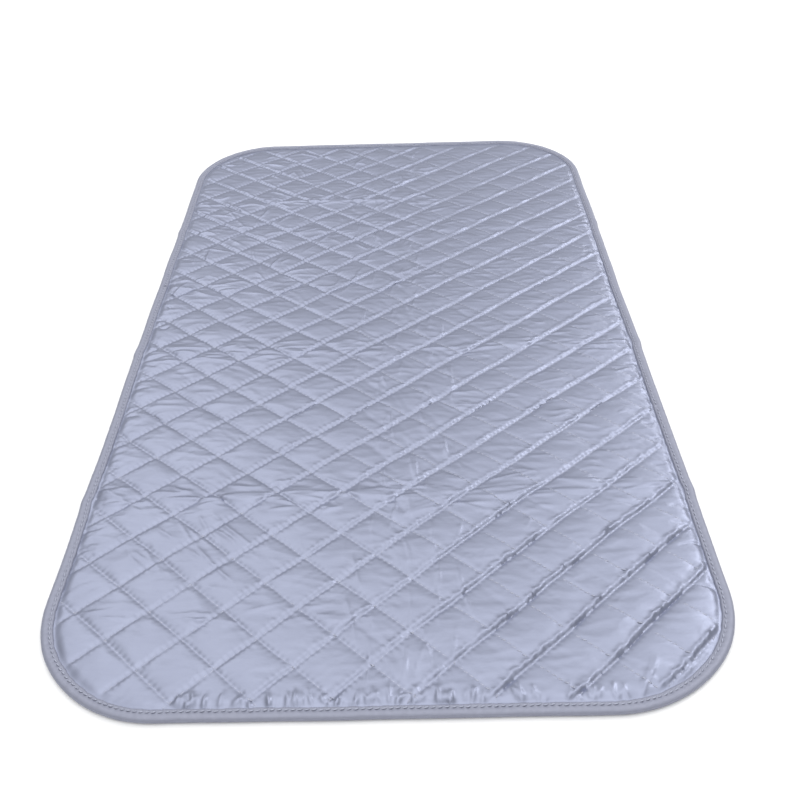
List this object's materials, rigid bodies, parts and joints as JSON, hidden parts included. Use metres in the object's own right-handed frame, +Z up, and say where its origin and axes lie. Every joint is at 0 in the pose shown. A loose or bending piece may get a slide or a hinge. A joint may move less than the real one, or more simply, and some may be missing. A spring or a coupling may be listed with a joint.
{
  "type": "ironing pad",
  "caption": "Flat quilted ironing pad with rounded corners: silver-coated cover, wadding and plain backing in a bound edge, folding flat at creases across it.",
  "frame": {"origin": "centre of the pad's outline, on the surface that the pad lies on", "axes": "+X across the pad to the right, +Y along the pad towards its rear end, +Z up"},
  "size_m": [0.48, 0.85, 0.0064],
  "materials": {
    "silver_cloth": "silver-coated woven cloth with a satin sheen",
    "wadding_felt": "matt needled felt",
    "plain_cloth": "matt plain-woven cloth",
    "binding_tape": "smooth woven tape with a soft sheen",
    "sewing_thread": "twisted sewing thread with a soft sheen"
  },
  "bodies": {
    "rear_middle_panel": {"backing_rear_middle": "plain_cloth", "wadding_rear_middle": "wadding_felt", "cover_rear_middle": "silver_cloth", "quilting_thread_rear_middle": "sewing_thread", "binding_rear_middle_left": "binding_tape", "binding_thread_rear_middle_left": "sewing_thread", "binding_rear_middle_right": "binding_tape", "binding_thread_rear_middle_right": "sewing_thread"},
    "rear_panel": {"backing_rear": "plain_cloth", "wadding_rear": "wadding_felt", "cover_rear": "silver_cloth", "quilting_thread_rear": "sewing_thread", "binding_rear": "binding_tape", "binding_thread_rear": "sewing_thread"},
    "front_middle_panel": {"backing_front_middle": "plain_cloth", "wadding_front_middle": "wadding_felt", "cover_front_middle": "silver_cloth", "quilting_thread_front_middle": "sewing_thread", "binding_front_middle_left": "binding_tape", "binding_thread_front_middle_left": "sewing_thread", "binding_front_middle_right": "binding_tape", "binding_thread_front_middle_right": "sewing_thread"},
    "front_panel": {"backing_front": "plain_cloth", "wadding_front": "wadding_felt", "cover_front": "silver_cloth", "quilting_thread_front": "sewing_thread", "binding_front": "binding_tape", "binding_thread_front": "sewing_thread"}
  },
  "joints": [
    {"name": "middle_fold", "type": "hinge", "parent": "rear_middle_panel", "child": "front_middle_panel", "pos_m": [0, -0.035, 0.0137], "axis": [-1, 0, 0], "range_deg": [0, 180]},
    {"name": "front_fold", "type": "hinge", "parent": "front_middle_panel", "child": "front_panel", "pos_m": [0, -0.232, 0.0067], "axis": [-1, 0, 0], "range_deg": [0, 180]},
    {"name": "rear_fold", "type": "hinge", "parent": "rear_middle_panel", "child": "rear_panel", "pos_m": [0, 0.197, 0.0067], "axis": [1, 0, 0], "range_deg": [0, 180]}
  ]
}
